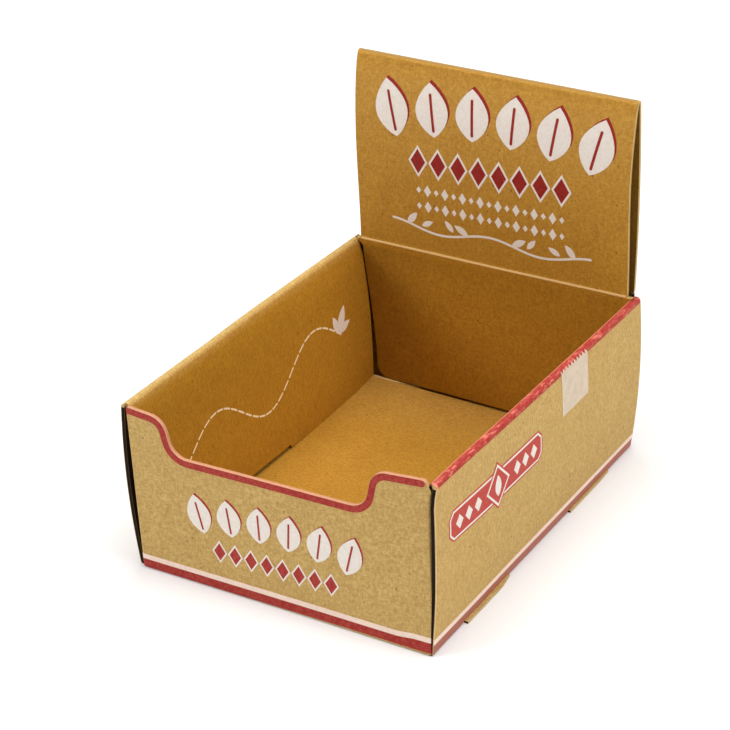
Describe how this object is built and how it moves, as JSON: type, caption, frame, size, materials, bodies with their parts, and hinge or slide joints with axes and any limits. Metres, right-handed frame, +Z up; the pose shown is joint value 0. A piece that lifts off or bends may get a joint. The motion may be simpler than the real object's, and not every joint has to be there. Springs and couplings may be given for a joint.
{
  "type": "product display box",
  "caption": "Open-topped display box folded from brown fluted board, with a dipped front edge, rolled side walls and a standing header tucked in at the back, for counter goods.",
  "frame": {"origin": "middle of the underside of the base", "axes": "+Z up, the dipped front wall faces -Y, +X to the right seen from the front"},
  "size_m": [0.1158, 0.1494, 0.1328],
  "materials": {
    "kraft_board": "matte brown kraft liner with red and white print",
    "frosted_tape": "frosted translucent film"
  },
  "bodies": {
    "root": {"folded_carton": "kraft_board", "tape_strip": "frosted_tape"}
  },
  "joints": []
}
